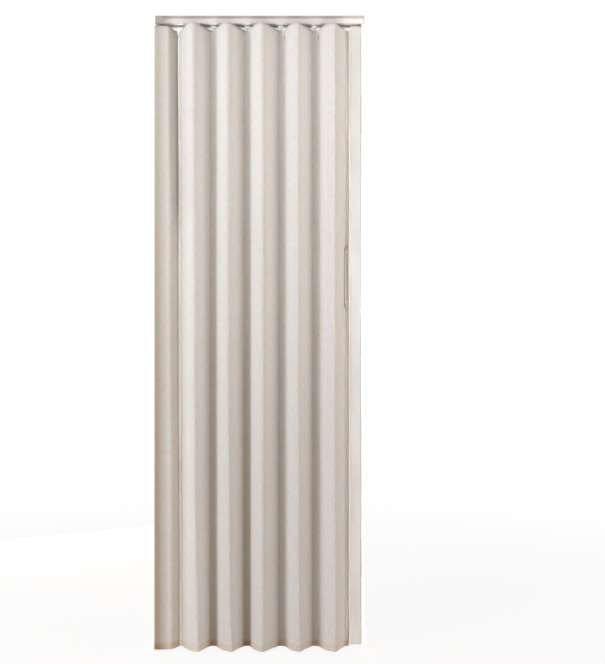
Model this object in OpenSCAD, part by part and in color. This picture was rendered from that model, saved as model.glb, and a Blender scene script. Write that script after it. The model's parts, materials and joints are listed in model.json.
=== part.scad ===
// Accordion folding door: two pleated sheets on a lazy-tongs frame that hangs from a head rail.
// The origin is the centre of the rail's top face. X runs along the rail to the closing side,
// -Y is the front and Z is up, so the door hangs below zero. Sizes are in mm.
// The door is drawn closed, as photographed. Folding turns the A straps by -q and the B straps
// by +q about the upright axis, and draws the valleys together along the rail.

/* [Head rail] */
// length over both end caps
rail_length = 660; // [560:10:800]
// width of the rail's face, front to back
rail_width = 36; // [32:1:44]
// height of the rail
rail_height = 24; // [22:1:30]
// wall of the extrusion
rail_wall = 1.5; // [1.2:0.1:2]
// width of the slot that the trolley blocks run in
rail_slot = 10; // [9:0.5:12]
// how far the top lip flares out of the face
lip_out = 2; // [0:0.5:3]
// height of the flared lip
lip_height = 8.5; // [4:0.5:10]
// radius of the screw holes in the top web
rail_hole_r = 2.25; // [2:0.25:3]
// distance of the outer screw holes from the middle
rail_hole_outer = 290; // [200:5:300]
// distance of the inner screw holes from the middle
rail_hole_inner = 97; // [60:1:150]
// wall of the end caps
cap_wall = 1.5; // [1:0.5:3]
// length of the left cap's sleeve over the rail
sleeve_length = 25; // [10:1:40]
// thickness of that sleeve
sleeve_wall = 1; // [0.8:0.2:2]

/* [Trolleys] */
// radius of a wheel
wheel_r = 8; // [6:0.5:8.5]
// width of a wheel's tread
wheel_width = 7; // [5:0.5:8]
// distance of the tread from the middle
wheel_inset = 7; // [6:0.5:8]
// radius of the axle
axle_r = 2; // [1.5:0.5:2.5]
// length of the block along the rail
block_length = 16; // [12:1:20]
// width of the block in the slot
block_width = 8; // [7:0.5:9]
// radius of the stem under the block
stem_r = 4; // [3.5:0.5:5]

/* [Lazy-tongs frame] */
// distance from the rail's left end to the first valley
jamb_reach = 76.4; // [60:0.1:100]
// distance from the last valley to the rail's right end
lead_reach = 50; // [45:0.5:70]
// distance between neighbouring pivots of a strap
arm_length = 80; // [70:1:100]
// thickness of a strap
strap_thick = 2; // [1.5:0.5:3]
// height of a strap
strap_tall = 12; // [10:1:16]
// radius of a strap's eye
eye_r = 4.5; // [4:0.5:6]
// radius of rods and ridge pins
rod_r = 2.5; // [2:0.5:3]
// height of the first strap level below the rail's top
level_first = 60; // [55:1:100]
// height of the lowest strap level above the sheet's bottom edge
level_foot = 51; // [40:1:120]

/* [Sheet] */
// top edge of the sheet below the rail's top
sheet_drop = 42; // [36:1:60]
// bottom edge of the sheet below the rail's top
sheet_reach = 1991; // [1800:1:2300]
// thickness of the sheet
sheet_thick = 0.8; // [0.6:0.1:1.2]
// height of the hem
hem_tall = 20; // [15:1:40]
// how much thicker the hem is, inwards
hem_extra = 0.4; // [0:0.1:0.6]
// distance along a strap at which the flat face of the sheet starts
face_start = 13.5; // [13:0.5:20]
// half the width of the band in each valley
band_half = 8; // [6:0.5:9]
// distance of the band's outer face from the rod
band_front = 10.5; // [9:0.5:12]

/* [Wall end] */
// depth of the cover's flat face from the middle plane
cover_front = 43; // [34:1:48]
// width of the cover's flat face, from the wall to the crease
cover_flat = 49; // [40:1:56]
// radius of the crease between the flat face and the slope to the first valley
cover_crease = 6; // [3:0.5:8]
// radius of the cover's rounding at the wall
cover_edge = 4; // [3:0.5:8]
// wall of the cover
cover_wall = 2; // [1.5:0.5:3]
// half the width of the wall channel
channel_half = 30; // [24:1:34]
// depth of the wall channel along the rail
channel_depth = 38; // [30:1:45]
// radius of the wall screw holes
wall_hole_r = 2.5; // [2:0.25:3]
// distance of the upper wall screw hole below the sheet's top edge
wall_hole_top = 138; // [80:1:300]
// distance of the lower wall screw hole above the sheet's bottom edge
wall_hole_foot = 111; // [80:1:300]
// half the width of the plates that carry the first rod
bracket_half = 14; // [10:1:24]

/* [Lead post] */
// width of the post along the rail
post_width = 33.3; // [28:0.1:45]
// depth of the post, front to back
post_depth = 40; // [34:1:50]
// corner radius of the post
post_round = 3; // [1:0.5:6]
// wall of the post
post_wall = 1.6; // [1.2:0.1:2.5]
// top end of the post below the rail's top
post_drop = 34; // [32:1:60]
// bottom end of the post below the rail's top
post_reach = 1984; // [1800:1:2300]
// top of the handle below the rail's top
handle_drop = 732; // [700:1:1200]
// height of the handle
handle_tall = 187; // [120:1:260]
// how far the handle reaches out over the last valley, from the last rod
handle_left = 11.8; // [10:0.1:12.5]
// width of the finger groove
groove_width = 7; // [6:0.5:8]
// wall of the handle at both ends of the finger groove
groove_end = 15; // [8:1:30]
// width of the bead along the post in the last valley
bead_width = 4.8; // [3:0.1:5]
// depth of the bead's nose from the middle plane
bead_front = 20.6; // [14:0.1:22]
// length of each magnet strip
magnet_tall = 120; // [80:5:200]
// distance of the outer magnet strips' middles from the ends of the post
magnet_inset = 270; // [150:5:400]

/* [Strike strip] */
// depth of the strike strip along the rail
strike_deep = 9.5; // [8:0.5:12]
// width of the strike strip, front to back
strike_width = 36; // [30:1:40]

/* [Hidden] */
$fn = 64;

pleats = 5;
run_gap = 0.06;     // running clearance of a pivot
seat_gap = 0.3;     // gap between pieces that slide on or rest against each other
screw_gap = 0.05;   // clearance of a rod in a piece that it is screwed or pressed into
rail_end = rail_length / 2;
jamb_x = jamb_reach - rail_end;
lead_x = rail_end - lead_reach;
half_pitch = (lead_x - jamb_x) / (2 * pleats);
rest_angle = acos(half_pitch / arm_length);
bore_r = rod_r + run_gap;
level_tall = 2 * strap_tall + seat_gap;
levels = [-level_first, -(level_first + sheet_reach - level_foot) / 2, level_foot - sheet_reach];
pin_head = 1.2;     // thickness of a ridge pin's riveted head
pin_head_r = 4;
function valley_x(i) = jamb_x + 2 * i * half_pitch;

// trolley
flange_top = rail_wall - rail_height;
wheel_lift = 0.2;   // the wheels run this far above the flanges
block_over = 6;     // height of the block above the axle
block_hang = 8;     // how far the block hangs out of the rail
stem_tall = 12;
wheel_bevel = 0.6;
hub_r = 3.5;
axle_over = 1;      // how far the axle stands out of a wheel
axle_z = flange_top + wheel_r + wheel_lift;
block_top = axle_z + block_over;
block_bottom = -rail_height - block_hang;
stem_end = block_bottom - stem_tall;
axle_half = wheel_inset + wheel_width + axle_over;
thread_deep = 14;   // how far a rod is screwed into its stem

// sheet: the flat face leans away from the strap, from the band to the eye at the ridge
face_gap = strap_thick / 2 + seat_gap;
face_lean = (eye_r + seat_gap - face_gap) / (arm_length - face_start);
ridge_gap = 0.15;   // half the gap between two faces at a ridge
sheet_top = -sheet_drop;
sheet_bottom = -sheet_reach;

// strips and rods
flange_thick = 1.2;
web_thick = 1.6;
strip_inset = 6;    // the strips stop this far inside the sheet's ends
rod_inset = 3;
strip_top = sheet_top - strip_inset;
strip_bottom = sheet_bottom + strip_inset;
nut_r = 4.5;
nut_tall = 4.5;
rod_foot = strip_bottom - seat_gap - nut_tall;
bracket_thick = 3;
neck_half = 6;      // half the width of a bracket where it passes between the covers
neck_slope = 12;
tab_drop = 12;
edge_left = 4;      // the first strip's left edge, from its rod
edge_right = 0.3;   // right edge of the part of that strip that runs past the straps

// wall end
cover_end = -rail_end + seat_gap;
cover_gap = 0.4;    // gap between a cover and the first strips
cover_foot = jamb_x - edge_left - cover_gap;
slope_angle = atan2(cover_front - band_front, cover_foot - cover_end - cover_flat);
crease_x = cover_end + cover_flat - cover_crease * tan(slope_angle / 2);
cover_back_y = neck_half + 2;   // the covers stop here, so that the brackets pass between them
hook_thick = 1.5;
tab_thick = 1.5;
end_gap = 1;        // the channels are this much shorter than the sheet at each end
wall_holes = [sheet_top - wall_hole_top, sheet_bottom + wall_hole_foot];

// lead post
post_inset = 6.2;   // the post starts this far right of the last rod
side_gap = 0.1;     // strips and beads lie this close to the post
strip_right = post_inset - side_gap;
post_x = lead_x + post_inset;
post_mid = post_x + post_width / 2;
post_tall = post_reach - post_drop;
post_cap_thick = 3;
cap_gap = 0.1;      // the post's caps are this much smaller than its inside, on each side
strike_x = rail_end - strike_deep;
magnet_width = 12;
magnet_thick = 3;
keeper_gap = 0.5;   // gap between a magnet strip and its keeper
magnet_levels = [-post_drop - magnet_inset, -(post_drop + post_reach) / 2, magnet_inset - post_reach];
bolt_head_r = 4.6;
bolt_head_tall = 4;
bolt_below = 8;     // how far the hanger bolt reaches below the post's cap
bolt_above = 6;     // how far it is screwed into the trolley's stem
sweep_r = 22.3;     // inside this radius about the last rod, the folding sheet leaves room
notch_gap = 0.8;    // the sheet is cut away this far outside that radius
notch_deep = 12;
notch_margin = 7;
handle_r = sweep_r - 0.7;
handle_lip = 17.6;  // depth of the handle's left edge
handle_foot = 5.8;  // half width of the handle where it stands on the strip
handle_wall = 1.1;  // wall between the finger groove and the bead
bead_left = strip_right - bead_width;
handle_right = bead_left - seat_gap;
groove_floor = 15.5;

steel = [0.74, 0.75, 0.76];
nylon = [0.93, 0.93, 0.9];
rail_paint = [0.85, 0.83, 0.81];
cloth = [0.87, 0.85, 0.81];
post_white = [0.91, 0.9, 0.87];
cream = [0.96, 0.94, 0.88];
greige = [0.63, 0.58, 0.54];
dark = [0.25, 0.24, 0.23];
aluminium = [0.8, 0.8, 0.79];

module at_valley(i) {
    translate([valley_x(i), 0, 0]) children();
}

// the rail's outline across its length: first axis to the back, second axis up
module rail_outline(grow) {
    half = rail_width / 2 + grow;
    low = -rail_height - grow;
    polygon([
        [-half - lip_out, 0], [half + lip_out, 0], [half + lip_out, -rail_wall],
        [half, -lip_height], [half, low + 1], [half - 1, low],
        [1 - half, low], [-half, low + 1], [-half, -lip_height], [-half - lip_out, -rail_wall]
    ]);
}

module along_rail(from, to) {
    translate([from, 0, 0]) rotate([90, 0, 90]) linear_extrude(to - from) children();
}

module head_rail() color(rail_paint) {
    inner = rail_width / 2 - rail_wall;
    difference() {
        along_rail(cap_wall - rail_end, rail_end - cap_wall) difference() {
            rail_outline(0);
            translate([-inner, flange_top]) square([2 * inner, -flange_top - rail_wall]);
            translate([-rail_slot / 2, -rail_height - 1]) square([rail_slot, rail_wall + 2]);
        }
        for (x = [-rail_hole_outer, -rail_hole_inner, rail_hole_inner, rail_hole_outer])
            translate([x, 0, -2 * rail_wall]) cylinder(r = rail_hole_r, h = 3 * rail_wall);
    }
}

module cap_plug(from, to) {
    inner = rail_width / 2 - rail_wall - seat_gap;
    along_rail(from, to) translate([-inner, flange_top + seat_gap])
        square([2 * inner, -flange_top - rail_wall - 2 * seat_gap]);
}

module rail_end_caps() color(greige) {
    difference() {
        along_rail(-rail_end, sleeve_length - rail_end) rail_outline(sleeve_wall);
        along_rail(cap_wall - rail_end, sleeve_length - rail_end + 1) rail_outline(0.1);
        along_rail(cap_wall - rail_end, sleeve_length - rail_end + 1)
            translate([-rail_width, -2]) square([2 * rail_width, 3]);
    }
    cap_plug(cap_wall - rail_end - 0.5, cap_wall - rail_end + 8);
    along_rail(rail_end - cap_wall, rail_end) rail_outline(0);
    cap_plug(rail_end - cap_wall - 4, rail_end - cap_wall + 0.5);
}

// a trolley block with its stem and the bores for the axle and the rod
module carriage(end) {
    difference() {
        union() {
            translate([-block_length / 2, -block_width / 2, block_bottom])
                cube([block_length, block_width, block_top - block_bottom]);
            translate([0, 0, end]) cylinder(r = stem_r, h = block_bottom - end + 1);
        }
        translate([0, -block_width, axle_z]) rotate([-90, 0, 0])
            cylinder(r = axle_r + run_gap, h = 2 * block_width);
        translate([0, 0, end - 1]) cylinder(r = rod_r + screw_gap, h = thread_deep + 1);
    }
}

// two wheels moulded on one axle, as one turned outline
module wheel_set() {
    far = wheel_inset + wheel_width;
    hub = block_width / 2 + seat_gap;
    rim_r = wheel_r - wheel_bevel;
    translate([0, 0, axle_z]) rotate([90, 0, 0]) rotate_extrude() polygon([
        [0, -axle_half], [axle_r, -axle_half], [axle_r, -far], [rim_r, -far],
        [wheel_r, wheel_bevel - far], [wheel_r, -wheel_inset - wheel_bevel], [rim_r, -wheel_inset],
        [hub_r, -wheel_inset], [hub_r, -hub], [axle_r, -hub],
        [axle_r, hub], [hub_r, hub], [hub_r, wheel_inset],
        [rim_r, wheel_inset], [wheel_r, wheel_inset + wheel_bevel], [wheel_r, far - wheel_bevel],
        [rim_r, far], [axle_r, far], [axle_r, axle_half], [0, axle_half]
    ]);
}

// A straps: a bore at the middle pivot and a riveted pin at each end in the list
module straps_a(ends) {
    for (z = levels) translate([0, 0, z - strap_tall]) rotate([0, 0, -rest_angle]) {
        difference() {
            union() {
                cylinder(r = eye_r, h = strap_tall);
                for (e = ends) {
                    translate([min(0, e * arm_length), -strap_thick / 2, 0])
                        cube([arm_length, strap_thick, strap_tall]);
                    translate([e * arm_length, 0, 0]) cylinder(r = eye_r, h = strap_tall);
                    translate([e * arm_length, 0, -strap_tall - 2 * seat_gap])
                        cylinder(r = rod_r, h = 2 * strap_tall);
                    translate([e * arm_length, 0, -strap_tall - 2 * seat_gap - pin_head])
                        cylinder(r = pin_head_r, h = pin_head);
                }
            }
            translate([0, 0, -1]) cylinder(r = bore_r, h = strap_tall + 2);
        }
    }
}

// B straps: mirrored, one strap height lower, with a bore at every pivot
module straps_b(ends) {
    for (z = levels) translate([0, 0, z - level_tall]) mirror([1, 0, 0])
        rotate([0, 0, -rest_angle]) difference() {
            union() {
                cylinder(r = eye_r, h = strap_tall);
                for (e = ends) {
                    translate([min(0, e * arm_length), -strap_thick / 2, 0])
                        cube([arm_length, strap_thick, strap_tall]);
                    translate([e * arm_length, 0, 0]) cylinder(r = eye_r, h = strap_tall);
                }
            }
            translate([0, 0, -1]) cylinder(r = bore_r, h = strap_tall + 2);
            for (e = ends) translate([e * arm_length, 0, -1])
                cylinder(r = bore_r, h = strap_tall + 2);
        }
}

// where a line that starts at the band with this offset from the strap meets the ridge plane
function ridge_s(start) = (half_pitch - ridge_gap + sin(rest_angle) * (start - face_lean * face_start))
    / (cos(rest_angle) - face_lean * sin(rest_angle));
function face_y(s, start) = -start - face_lean * (s - face_start);

// plan of one face of the sheet, with the strap along +X and the outer side towards -Y
module face_plan(inner) {
    outer = face_gap + sheet_thick;
    near = ridge_s(inner);
    far = ridge_s(outer);
    polygon([
        [face_start, -inner], [near, face_y(near, inner)],
        [far, face_y(far, outer)], [face_start, -outer]
    ]);
}

module faces(ends, notched) {
    for (e = ends) rotate([0, 0, e > 0 ? -rest_angle : 180 - rest_angle]) difference() {
        union() {
            translate([0, 0, sheet_bottom + hem_tall])
                linear_extrude(sheet_top - sheet_bottom - hem_tall) face_plan(face_gap);
            translate([0, 0, sheet_bottom])
                linear_extrude(hem_tall) face_plan(face_gap - hem_extra);
        }
        if (notched) translate([0, face_gap - notch_deep, -handle_drop - handle_tall - notch_margin])
            cube([sweep_r + notch_gap, notch_deep, handle_tall + 2 * notch_margin]);
    }
}

module faces_b(ends, notched) {
    mirror([1, 0, 0]) faces(ends, notched);
}

// plan of a retaining strip: a tube for the rod, a web and a flange under each sheet
module strip_plan(left, right) {
    difference() {
        union() {
            circle(r = eye_r);
            translate([-web_thick / 2, 1 - band_front]) square([web_thick, 2 * band_front - 2]);
            translate([left, -band_front]) square([right - left, flange_thick]);
            translate([left, band_front - flange_thick]) square([right - left, flange_thick]);
        }
        circle(r = rod_r + 0.1);
    }
}

// strips fill the rod between the strap levels; below_plate leaves room for the jamb brackets
module strips(start, below_plate) {
    tops = [start, levels[0] - level_tall - seat_gap, levels[1] - level_tall - seat_gap,
        levels[2] - level_tall - seat_gap];
    ends = [levels[0] + seat_gap + below_plate, levels[1] + seat_gap + below_plate,
        levels[2] + seat_gap + below_plate, strip_bottom];
    for (k = [0 : 3]) translate([0, 0, ends[k]]) linear_extrude(tops[k] - ends[k]) children();
}

// a rod with a pressed nut under the lowest strip
module rod(start) {
    translate([0, 0, rod_foot]) {
        cylinder(r = rod_r, h = start - rod_foot);
        cylinder(r = nut_r, h = nut_tall);
    }
}

module jamb_channel() color(aluminium) {
    wall = rail_wall;
    low = sheet_bottom + end_gap;
    difference() {
        translate([-rail_end, 0, low]) linear_extrude(sheet_top - end_gap - low) union() {
            translate([0, -channel_half]) square([wall, 2 * channel_half]);
            for (s = [-1, 1]) {
                translate([0, s > 0 ? channel_half - wall : -channel_half])
                    square([channel_depth, wall]);
                translate([channel_depth - hook_thick, s > 0 ? channel_half - wall : cover_wall
                    + seat_gap - cover_front])
                    square([hook_thick, cover_front - cover_wall - seat_gap - channel_half + wall]);
            }
        }
        for (z = wall_holes) translate([-rail_end - wall, 0, z])
            rotate([0, 90, 0]) cylinder(r = wall_hole_r, h = 3 * wall);
    }
}

// the region inside the cover's outline, shrunk by this much: a flat face, a rounded crease and a
// slope down to the first valley
module cover_region(shrink) {
    front = shrink - cover_front;
    edge_r = cover_edge - shrink;
    edge_x = cover_end + cover_edge;
    crease_r = cover_crease - shrink;
    slope_x = crease_x + crease_r * sin(slope_angle);
    slope_y = cover_crease - cover_front - crease_r * cos(slope_angle);
    foot_x = cover_foot - shrink;
    polygon([
        [edge_x, front], [crease_x, front], [slope_x, slope_y],
        [foot_x, slope_y + (foot_x - slope_x) * tan(slope_angle)], [foot_x, 0], [edge_x, 0]
    ]);
    translate([crease_x, cover_crease - cover_front]) circle(r = crease_r);
    translate([edge_x, cover_edge - cover_front]) circle(r = edge_r);
    translate([edge_x - edge_r, cover_edge - cover_front]) square([edge_r, cover_front - cover_edge]);
}

module cover() {
    translate([0, 0, sheet_bottom]) linear_extrude(sheet_top - sheet_bottom) difference() {
        cover_region(0);
        cover_region(cover_wall);
        translate([-rail_end - 1, -cover_back_y]) square([rail_end, 2 * cover_back_y]);
        translate([-rail_end - 1, -channel_half - seat_gap])
            square([channel_depth, channel_half + seat_gap]);
    }
}

module jamb_cover_front() color(cloth) cover();

module jamb_cover_back() color(cloth) mirror([0, 1, 0]) cover();

module jamb_rod() color(steel) at_valley(0) rod(sheet_top - rod_inset);

// plates that carry the jamb rod above each strap level, each with a tab on the wall channel
module jamb_brackets() color(steel) {
    web_in = rail_wall - rail_end + seat_gap;
    neck_x = web_in + channel_depth;
    for (z = levels) translate([0, 0, z + seat_gap]) {
        difference() {
            union() {
                linear_extrude(bracket_thick) polygon([
                    [web_in, -bracket_half], [neck_x - neck_slope, -bracket_half], [neck_x, -neck_half],
                    [jamb_x, -neck_half], [jamb_x, neck_half], [neck_x, neck_half],
                    [neck_x - neck_slope, bracket_half], [web_in, bracket_half]
                ]);
                translate([jamb_x, 0, 0]) cylinder(r = neck_half, h = bracket_thick);
            }
            translate([jamb_x, 0, -1]) cylinder(r = rod_r + screw_gap, h = bracket_thick + 2);
        }
        translate([web_in, -bracket_half, -tab_drop])
            cube([tab_thick, 2 * bracket_half, tab_drop + bracket_thick]);
    }
}

// the first strips; beside the covers their flanges run on past the straps and the brackets
module jamb_strips() color(cream) at_valley(0) {
    strips(strip_top, bracket_thick + seat_gap) strip_plan(-edge_left, band_half);
    for (y = [-band_front, band_front - flange_thick]) translate([-edge_left, y, strip_bottom])
        cube([edge_left + edge_right, flange_thick, strip_top - strip_bottom]);
}

module strike_channel() color(cream) {
    low = sheet_bottom + end_gap;
    half = strike_width / 2;
    difference() {
        translate([strike_x, 0, low]) linear_extrude(-rail_height - seat_gap - low) difference() {
            translate([0, -half]) square([strike_deep, strike_width]);
            translate([-1, post_wall - half])
                square([strike_deep + 1 - post_wall, strike_width - 2 * post_wall]);
        }
        for (z = wall_holes) translate([rail_end - 2 * post_wall, 0, z])
            rotate([0, 90, 0]) cylinder(r = wall_hole_r, h = 3 * post_wall);
    }
}

module strike_keepers() color(steel) {
    near = post_x + post_width + magnet_thick + keeper_gap;
    for (z = magnet_levels) translate([near, -magnet_width / 2, z - magnet_tall / 2])
        cube([rail_end - post_wall - near, magnet_width, magnet_tall]);
}

module post_magnets() color(dark) {
    for (z = magnet_levels) translate([post_x + post_width, -magnet_width / 2, z - magnet_tall / 2])
        cube([magnet_thick, magnet_width, magnet_tall]);
}

module post_plan(shrink) {
    wide = post_width - 2 * shrink;
    deep = post_depth - 2 * shrink;
    r = post_round;
    square([wide - 2 * r, deep], center = true);
    square([wide, deep - 2 * r], center = true);
    for (x = [-1, 1], y = [-1, 1])
        translate([x * (wide / 2 - r), y * (deep / 2 - r)]) circle(r = r);
}

module lead_post() color(post_white) {
    translate([post_mid, 0, -post_reach]) linear_extrude(post_tall) difference() {
        post_plan(0);
        square([post_width - 2 * post_wall, post_depth - 2 * post_wall], center = true);
    }
}

module post_cap() {
    inner_wide = post_width - 2 * post_wall - 2 * cap_gap;
    inner_deep = post_depth - 2 * post_wall - 2 * cap_gap;
    linear_extrude(post_cap_thick) square([inner_wide, inner_deep], center = true);
}

module post_caps() color(greige) {
    translate([post_mid, 0, -post_drop - post_cap_thick]) difference() {
        post_cap();
        translate([0, 0, -1]) cylinder(r = rod_r + screw_gap, h = post_cap_thick + 2);
    }
    translate([post_mid, 0, -post_reach]) post_cap();
}

// the last valley's rod, and the bolt with its hex nut that hangs the post from its trolley
module lead_rod() color(steel) {
    at_valley(pleats) rod(sheet_top - rod_inset);
    translate([post_mid, 0, -post_drop - post_cap_thick]) {
        translate([0, 0, -bolt_below]) cylinder(r = rod_r, h = bolt_below + post_cap_thick + bolt_above);
        translate([0, 0, -seat_gap - bolt_head_tall]) cylinder(r = bolt_head_r, h = bolt_head_tall, $fn = 6);
    }
}

module lead_strip_plan() {
    strip_plan(-band_half, strip_right);
    translate([strip_right - flange_thick, flange_thick / 2 - band_front])
        square([flange_thick, 2 * band_front - flange_thick]);
}

module lead_strips() color(cream) at_valley(pleats) strips(strip_top, 0) lead_strip_plan();

// a round-nosed bead along the post on both sides, which closes the last valley from end to end
module post_beads() color(cream) at_valley(pleats) for (s = [-1, 1])
    translate([0, 0, strip_bottom]) linear_extrude(strip_top - strip_bottom) {
        nose_r = bead_width / 2;
        foot_y = s * (band_front + seat_gap);
        nose_y = s * (bead_front - nose_r);
        translate([bead_left, min(foot_y, nose_y)]) square([bead_width, abs(nose_y - foot_y)]);
        translate([bead_left + nose_r, nose_y]) circle(r = nose_r);
    }

module lead_carriage() color(nylon) translate([post_mid, 0, 0]) carriage(-post_drop + seat_gap);

// the handle's round front lies inside the radius that the folding sheet sweeps
module handle() {
    floor_y = -band_front - seat_gap;
    at_valley(pleats) translate([0, 0, -handle_drop - handle_tall]) difference() {
        linear_extrude(handle_tall) intersection() {
            circle(r = handle_r);
            polygon([
                [handle_right, floor_y], [handle_right, -sweep_r], [-handle_left, -sweep_r],
                [-handle_left, -handle_lip], [-handle_foot, floor_y]
            ]);
        }
        translate([handle_right - handle_wall - groove_width, -sweep_r, groove_end])
            cube([groove_width, sweep_r - groove_floor, handle_tall - 2 * groove_end]);
    }
}

module handle_front() color(greige) handle();

module handle_back() color(greige) mirror([0, 1, 0]) handle();

module valley_strip_plan() strip_plan(-band_half, band_half);

module strap_a0() color(steel) at_valley(0) straps_a([1]);
module strap_a1() color(steel) at_valley(1) straps_a([-1, 1]);
module strap_a2() color(steel) at_valley(2) straps_a([-1, 1]);
module strap_a3() color(steel) at_valley(3) straps_a([-1, 1]);
module strap_a4() color(steel) at_valley(4) straps_a([-1, 1]);
module strap_a5() color(steel) at_valley(5) straps_a([-1]);
module strap_b0() color(steel) at_valley(0) straps_b([-1]);
module strap_b1() color(steel) at_valley(1) straps_b([-1, 1]);
module strap_b2() color(steel) at_valley(2) straps_b([-1, 1]);
module strap_b3() color(steel) at_valley(3) straps_b([-1, 1]);
module strap_b4() color(steel) at_valley(4) straps_b([-1, 1]);
module strap_b5() color(steel) at_valley(5) straps_b([1]);
module sheet_a0() color(cloth) at_valley(0) faces([1], false);
module sheet_a1() color(cloth) at_valley(1) faces([-1, 1], false);
module sheet_a2() color(cloth) at_valley(2) faces([-1, 1], false);
module sheet_a3() color(cloth) at_valley(3) faces([-1, 1], false);
module sheet_a4() color(cloth) at_valley(4) faces([-1, 1], false);
module sheet_a5() color(cloth) at_valley(5) faces([-1], true);
module sheet_b0() color(cloth) at_valley(0) faces_b([-1], false);
module sheet_b1() color(cloth) at_valley(1) faces_b([-1, 1], false);
module sheet_b2() color(cloth) at_valley(2) faces_b([-1, 1], false);
module sheet_b3() color(cloth) at_valley(3) faces_b([-1, 1], false);
module sheet_b4() color(cloth) at_valley(4) faces_b([-1, 1], false);
module sheet_b5() color(cloth) at_valley(5) faces_b([1], true);
module carriage_1() color(nylon) at_valley(1) carriage(stem_end);
module carriage_2() color(nylon) at_valley(2) carriage(stem_end);
module carriage_3() color(nylon) at_valley(3) carriage(stem_end);
module carriage_4() color(nylon) at_valley(4) carriage(stem_end);
module hanger_rod_1() color(steel) at_valley(1) rod(stem_end + thread_deep - 1);
module hanger_rod_2() color(steel) at_valley(2) rod(stem_end + thread_deep - 1);
module hanger_rod_3() color(steel) at_valley(3) rod(stem_end + thread_deep - 1);
module hanger_rod_4() color(steel) at_valley(4) rod(stem_end + thread_deep - 1);
module valley_strips_1() color(cream) at_valley(1) strips(stem_end - seat_gap, 0) valley_strip_plan();
module valley_strips_2() color(cream) at_valley(2) strips(stem_end - seat_gap, 0) valley_strip_plan();
module valley_strips_3() color(cream) at_valley(3) strips(stem_end - seat_gap, 0) valley_strip_plan();
module valley_strips_4() color(cream) at_valley(4) strips(stem_end - seat_gap, 0) valley_strip_plan();
module wheel_set_1() color(dark) at_valley(1) wheel_set();
module wheel_set_2() color(dark) at_valley(2) wheel_set();
module wheel_set_3() color(dark) at_valley(3) wheel_set();
module wheel_set_4() color(dark) at_valley(4) wheel_set();
module wheel_set_5() color(dark) translate([post_mid, 0, 0]) wheel_set();

head_rail();
rail_end_caps();
jamb_channel();
jamb_cover_front();
jamb_cover_back();
jamb_rod();
jamb_brackets();
jamb_strips();
strike_channel();
strike_keepers();
strap_a0();
strap_a1();
strap_a2();
strap_a3();
strap_a4();
strap_a5();
strap_b0();
strap_b1();
strap_b2();
strap_b3();
strap_b4();
strap_b5();
sheet_a0();
sheet_a1();
sheet_a2();
sheet_a3();
sheet_a4();
sheet_a5();
sheet_b0();
sheet_b1();
sheet_b2();
sheet_b3();
sheet_b4();
sheet_b5();
carriage_1();
carriage_2();
carriage_3();
carriage_4();
hanger_rod_1();
hanger_rod_2();
hanger_rod_3();
hanger_rod_4();
valley_strips_1();
valley_strips_2();
valley_strips_3();
valley_strips_4();
wheel_set_1();
wheel_set_2();
wheel_set_3();
wheel_set_4();
wheel_set_5();
lead_post();
post_caps();
lead_rod();
lead_strips();
lead_carriage();
post_beads();
handle_front();
handle_back();
post_magnets();
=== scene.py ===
# Looks of the accordion folding door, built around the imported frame.
import json
import math

import bpy
import numpy as np
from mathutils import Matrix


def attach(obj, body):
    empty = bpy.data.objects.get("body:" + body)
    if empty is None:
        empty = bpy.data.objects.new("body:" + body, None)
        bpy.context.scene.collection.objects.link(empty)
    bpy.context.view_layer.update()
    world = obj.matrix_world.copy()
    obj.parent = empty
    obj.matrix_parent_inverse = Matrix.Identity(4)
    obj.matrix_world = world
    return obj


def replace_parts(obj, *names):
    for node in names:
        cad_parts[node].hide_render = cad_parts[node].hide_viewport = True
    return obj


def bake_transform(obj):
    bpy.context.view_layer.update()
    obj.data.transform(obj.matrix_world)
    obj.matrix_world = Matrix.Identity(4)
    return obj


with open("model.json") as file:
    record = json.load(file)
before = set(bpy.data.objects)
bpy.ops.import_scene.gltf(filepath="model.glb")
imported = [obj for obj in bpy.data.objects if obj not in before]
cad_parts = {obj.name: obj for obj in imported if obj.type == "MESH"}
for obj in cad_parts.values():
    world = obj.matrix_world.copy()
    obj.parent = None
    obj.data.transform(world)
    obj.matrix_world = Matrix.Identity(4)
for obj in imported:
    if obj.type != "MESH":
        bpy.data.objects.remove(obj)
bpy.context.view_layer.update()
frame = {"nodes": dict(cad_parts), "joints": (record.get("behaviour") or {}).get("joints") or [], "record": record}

print("frame loaded,", len(frame["nodes"]), "nodes")

mm = 0.001

# where the door's pivots stand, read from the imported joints
pivots = {joint["name"]: joint["pos_m"] for joint in frame["joints"]}
firstValley = pivots["fold"][0]
halfPitch = pivots["ridge_pivot_1"][0] - firstValley
pivotDepth = -pivots["ridge_pivot_1"][1]
pleats = 5
valleys = [firstValley + 2 * halfPitch * i for i in range(pleats + 1)]
strapAngle = math.atan2(pivotDepth, halfPitch)

# how both pleated sheets are cut, how far beside a rod or a ridge's pin their cloth turns, and
# the gap that the handle needs in the last pieces
sheetCut = {"top": -42 * mm, "bottom": -1991 * mm, "thick": 0.8 * mm, "hemTall": 20 * mm,
            "hemExtra": 0.35 * mm, "hemStep": 1.2 * mm, "rows": 200, "hemRows": 10,
            "valleyTurn": 10 * mm, "ridgeTurn": 9 * mm}
handleNotch = {"top": -731 * mm, "bottom": -920 * mm, "reach": 22.1 * mm}


def hexColour(text):
    # a channel c becomes c / 12.92 when it is small, else (c + 0.055) / 1.055 to the power 2.4
    channels = [int(text[k:k + 2], 16) / 255 for k in (0, 2, 4)]
    return tuple(c / 12.92 if c <= 0.04045 else ((c + 0.055) / 1.055) ** 2.4
                 for c in channels) + (1.0,)


# camera, at the photograph's place: level, 0.82 m above the floor and 2.56 m before the door
view = {"place": (0.0, -2.560, -1.181), "lens": 43.64, "shiftX": 0.0644, "shiftY": 0.0873}

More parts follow.
